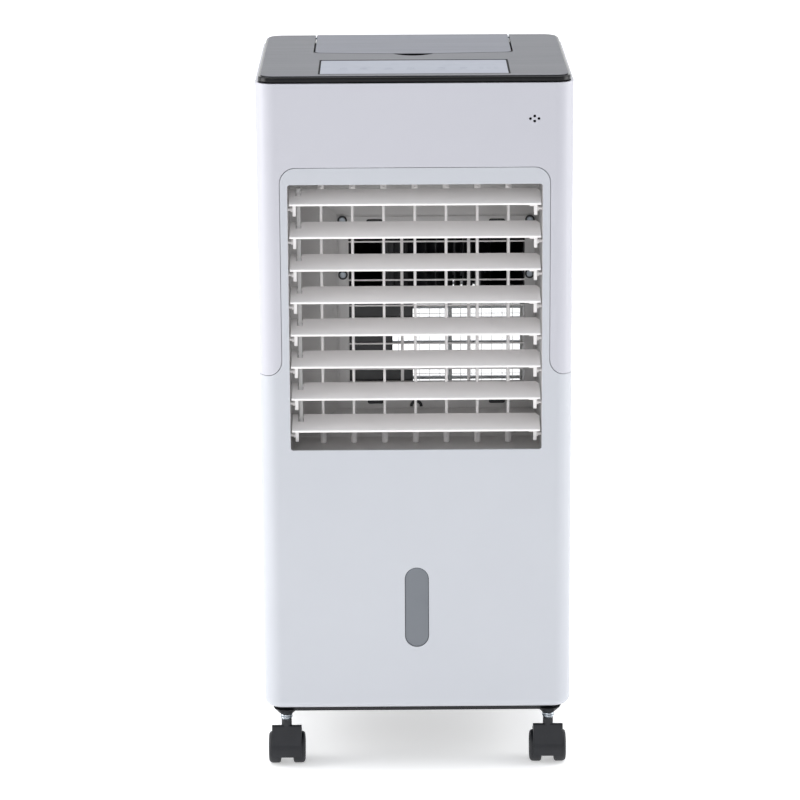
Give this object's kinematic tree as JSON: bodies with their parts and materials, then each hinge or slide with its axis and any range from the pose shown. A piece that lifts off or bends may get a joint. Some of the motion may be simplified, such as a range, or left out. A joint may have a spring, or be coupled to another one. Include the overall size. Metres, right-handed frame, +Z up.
{
  "type": "evaporative cooler",
  "caption": "White tower evaporative cooler on twin-wheel casters, with tilting louvres, swing vanes, a top fill lid and a pull-out water tank at the rear.",
  "frame": {"origin": "on the floor, under the middle of the casing", "axes": "+Z up, the louvred front faces -Y, +X to the right of a person facing the front"},
  "size_m": [0.3, 0.28, 0.69],
  "materials": {
    "white_abs": "satin",
    "louvre_white": "satin",
    "duct_grey": "matte",
    "black_gloss": "gloss",
    "black_plastic": "matte",
    "brushed_grey": "brushed",
    "control_glass": "gloss",
    "gauge_grey": "gloss",
    "clear_plastic": "clear",
    "tank_plastic": "translucent",
    "pad_fibre": "fibrous",
    "zinc": "plated",
    "board_green": "satin"
  },
  "bodies": {
    "cooler": {"air_baffle": "clear_plastic", "base_tray": "black_plastic", "blower_motor": "zinc", "blower_scroll": "black_plastic", "caster_stem_front_left": "zinc", "caster_stem_front_right": "zinc", "caster_stem_rear_left": "zinc", "caster_stem_rear_right": "zinc", "control_board": "board_green", "control_box": "black_plastic", "control_strip": "control_glass", "cooling_pad": "pad_fibre", "cord_inlet": "black_plastic", "finger_guard": "louvre_white", "gauge_window": "gauge_grey", "grip_cup": "black_plastic", "lid_hinge_pin": "zinc", "lower_casing": "white_abs", "motor_plate": "zinc", "outlet_duct": "duct_grey", "pad_frame": "louvre_white", "rear_grille": "white_abs", "rear_housing": "white_abs", "riser_hose": "clear_plastic", "swing_motor": "zinc", "top_plate": "brushed_grey", "top_rim": "black_gloss", "upper_casing": "white_abs", "water_tray": "tank_plastic"},
    "lid": {"fill_lid": "brushed_grey"},
    "louvre_1": {"louvre_1": "louvre_white"},
    "louvre_2": {"louvre_2": "louvre_white"},
    "louvre_3": {"louvre_3": "louvre_white"},
    "louvre_4": {"louvre_4": "louvre_white"},
    "louvre_5": {"louvre_5": "louvre_white"},
    "louvre_6": {"louvre_6": "louvre_white"},
    "louvre_7": {"louvre_7": "louvre_white"},
    "louvre_8": {"louvre_8": "louvre_white"},
    "louvre_link": {"louvre_link": "duct_grey"},
    "vane_1": {"vane_1": "louvre_white"},
    "vane_2": {"vane_2": "louvre_white"},
    "vane_3": {"vane_3": "louvre_white"},
    "vane_4": {"vane_4": "louvre_white"},
    "vane_5": {"vane_5": "louvre_white"},
    "vane_6": {"vane_6": "louvre_white"},
    "vane_7": {"vane_7": "louvre_white"},
    "vane_link": {"vane_link": "duct_grey"},
    "blower": {"blower_wheel": "black_plastic"},
    "tank": {"water_tank": "tank_plastic", "pump": "black_plastic"},
    "latch": {"tank_latch": "black_plastic"},
    "swivel_front_left": {"caster_hood_front_left": "black_plastic"},
    "wheels_front_left": {"caster_wheels_front_left": "black_plastic"},
    "swivel_front_right": {"caster_hood_front_right": "black_plastic"},
    "wheels_front_right": {"caster_wheels_front_right": "black_plastic"},
    "swivel_rear_left": {"caster_hood_rear_left": "black_plastic"},
    "wheels_rear_left": {"caster_wheels_rear_left": "black_plastic"},
    "swivel_rear_right": {"caster_hood_rear_right": "black_plastic"},
    "wheels_rear_right": {"caster_wheels_rear_right": "black_plastic"}
  },
  "joints": [
    {"name": "lid_hinge", "type": "hinge", "parent": "cooler", "child": "lid", "pos_m": [0, 0.1334, 0.6868], "axis": [-1, 0, 0], "range_deg": [0, 95]},
    {"name": "louvre_1_tilt", "type": "hinge", "parent": "cooler", "child": "louvre_1", "pos_m": [0, -0.1254, 0.5612], "axis": [1, 0, 0], "range_deg": [-36, 46]},
    {"name": "louvre_2_tilt", "type": "hinge", "parent": "cooler", "child": "louvre_2", "pos_m": [0, -0.1254, 0.5296], "axis": [1, 0, 0], "range_deg": [-36, 46]},
    {"name": "louvre_3_tilt", "type": "hinge", "parent": "cooler", "child": "louvre_3", "pos_m": [0, -0.1254, 0.498], "axis": [1, 0, 0], "range_deg": [-36, 46]},
    {"name": "louvre_4_tilt", "type": "hinge", "parent": "cooler", "child": "louvre_4", "pos_m": [0, -0.1254, 0.4664], "axis": [1, 0, 0], "range_deg": [-36, 46]},
    {"name": "louvre_5_tilt", "type": "hinge", "parent": "cooler", "child": "louvre_5", "pos_m": [0, -0.1254, 0.4348], "axis": [1, 0, 0], "range_deg": [-36, 46]},
    {"name": "louvre_6_tilt", "type": "hinge", "parent": "cooler", "child": "louvre_6", "pos_m": [0, -0.1254, 0.4032], "axis": [1, 0, 0], "range_deg": [-36, 46]},
    {"name": "louvre_7_tilt", "type": "hinge", "parent": "cooler", "child": "louvre_7", "pos_m": [0, -0.1254, 0.3716], "axis": [1, 0, 0], "range_deg": [-36, 46]},
    {"name": "louvre_8_tilt", "type": "hinge", "parent": "cooler", "child": "louvre_8", "pos_m": [0, -0.1254, 0.34], "axis": [1, 0, 0], "range_deg": [-36, 46]},
    {"name": "louvre_link_swing", "type": "hinge", "parent": "louvre_1", "child": "louvre_link", "pos_m": [-0.1107, -0.11327, 0.57566], "axis": [1, 0, 0], "range_deg": [-46, 36]},
    {"name": "vane_1_swing", "type": "hinge", "parent": "cooler", "child": "vane_1", "pos_m": [-0.09, -0.092, 0.455], "axis": [0, 0, 1], "range_deg": [-38, 38]},
    {"name": "vane_2_swing", "type": "hinge", "parent": "cooler", "child": "vane_2", "pos_m": [-0.06, -0.092, 0.455], "axis": [0, 0, 1], "range_deg": [-38, 38]},
    {"name": "vane_3_swing", "type": "hinge", "parent": "cooler", "child": "vane_3", "pos_m": [-0.03, -0.092, 0.455], "axis": [0, 0, 1], "range_deg": [-38, 38]},
    {"name": "vane_4_swing", "type": "hinge", "parent": "cooler", "child": "vane_4", "pos_m": [0, -0.092, 0.455], "axis": [0, 0, 1], "range_deg": [-38, 38]},
    {"name": "vane_5_swing", "type": "hinge", "parent": "cooler", "child": "vane_5", "pos_m": [0.03, -0.092, 0.455], "axis": [0, 0, 1], "range_deg": [-38, 38]},
    {"name": "vane_6_swing", "type": "hinge", "parent": "cooler", "child": "vane_6", "pos_m": [0.06, -0.092, 0.455], "axis": [0, 0, 1], "range_deg": [-38, 38]},
    {"name": "vane_7_swing", "type": "hinge", "parent": "cooler", "child": "vane_7", "pos_m": [0.09, -0.092, 0.455], "axis": [0, 0, 1], "range_deg": [-38, 38]},
    {"name": "vane_link_shift", "type": "hinge", "parent": "vane_4", "child": "vane_link", "pos_m": [0, -0.079, 0.579], "axis": [0, 0, 1], "range_deg": [-38, 38]},
    {"name": "blower_spin", "type": "hinge", "parent": "cooler", "child": "blower", "pos_m": [0.0215, 0.028, 0.486], "axis": [0, 0, 1], "continuous": true},
    {"name": "tank_slide", "type": "slide", "parent": "cooler", "child": "tank", "axis": [0, 1, 0], "range_m": [0, 0.2]},
    {"name": "latch_turn", "type": "hinge", "parent": "cooler", "child": "latch", "pos_m": [0, 0.13865, 0.2505], "axis": [0, -1, 0], "range_deg": [-90, 0]},
    {"name": "caster_front_left_swivel", "type": "hinge", "parent": "cooler", "child": "swivel_front_left", "pos_m": [-0.129, -0.1195, 0.043], "axis": [0, 0, 1], "continuous": true},
    {"name": "caster_front_left_roll", "type": "hinge", "parent": "swivel_front_left", "child": "wheels_front_left", "pos_m": [-0.129, -0.1095, 0.0158], "axis": [1, 0, 0], "continuous": true},
    {"name": "caster_front_right_swivel", "type": "hinge", "parent": "cooler", "child": "swivel_front_right", "pos_m": [0.129, -0.1195, 0.043], "axis": [0, 0, 1], "continuous": true},
    {"name": "caster_front_right_roll", "type": "hinge", "parent": "swivel_front_right", "child": "wheels_front_right", "pos_m": [0.129, -0.1095, 0.0158], "axis": [1, 0, 0], "continuous": true},
    {"name": "caster_rear_left_swivel", "type": "hinge", "parent": "cooler", "child": "swivel_rear_left", "pos_m": [-0.129, 0.108, 0.043], "axis": [0, 0, 1], "continuous": true},
    {"name": "caster_rear_left_roll", "type": "hinge", "parent": "swivel_rear_left", "child": "wheels_rear_left", "pos_m": [-0.129, 0.118, 0.0158], "axis": [1, 0, 0], "continuous": true},
    {"name": "caster_rear_right_swivel", "type": "hinge", "parent": "cooler", "child": "swivel_rear_right", "pos_m": [0.129, 0.108, 0.043], "axis": [0, 0, 1], "continuous": true},
    {"name": "caster_rear_right_roll", "type": "hinge", "parent": "swivel_rear_right", "child": "wheels_rear_right", "pos_m": [0.129, 0.118, 0.0158], "axis": [1, 0, 0], "continuous": true}
  ],
  "couplings": [
    {"joint": "louvre_2_tilt", "follows": "louvre_1_tilt", "ratio": 1},
    {"joint": "louvre_3_tilt", "follows": "louvre_1_tilt", "ratio": 1},
    {"joint": "louvre_4_tilt", "follows": "louvre_1_tilt", "ratio": 1},
    {"joint": "louvre_5_tilt", "follows": "louvre_1_tilt", "ratio": 1},
    {"joint": "louvre_6_tilt", "follows": "louvre_1_tilt", "ratio": 1},
    {"joint": "louvre_7_tilt", "follows": "louvre_1_tilt", "ratio": 1},
    {"joint": "louvre_8_tilt", "follows": "louvre_1_tilt", "ratio": 1},
    {"joint": "louvre_link_swing", "follows": "louvre_1_tilt", "ratio": -1},
    {"joint": "vane_1_swing", "follows": "vane_4_swing", "ratio": 1},
    {"joint": "vane_2_swing", "follows": "vane_4_swing", "ratio": 1},
    {"joint": "vane_3_swing", "follows": "vane_4_swing", "ratio": 1},
    {"joint": "vane_5_swing", "follows": "vane_4_swing", "ratio": 1},
    {"joint": "vane_6_swing", "follows": "vane_4_swing", "ratio": 1},
    {"joint": "vane_7_swing", "follows": "vane_4_swing", "ratio": 1},
    {"joint": "vane_link_shift", "follows": "vane_4_swing", "ratio": -1}
  ]
}
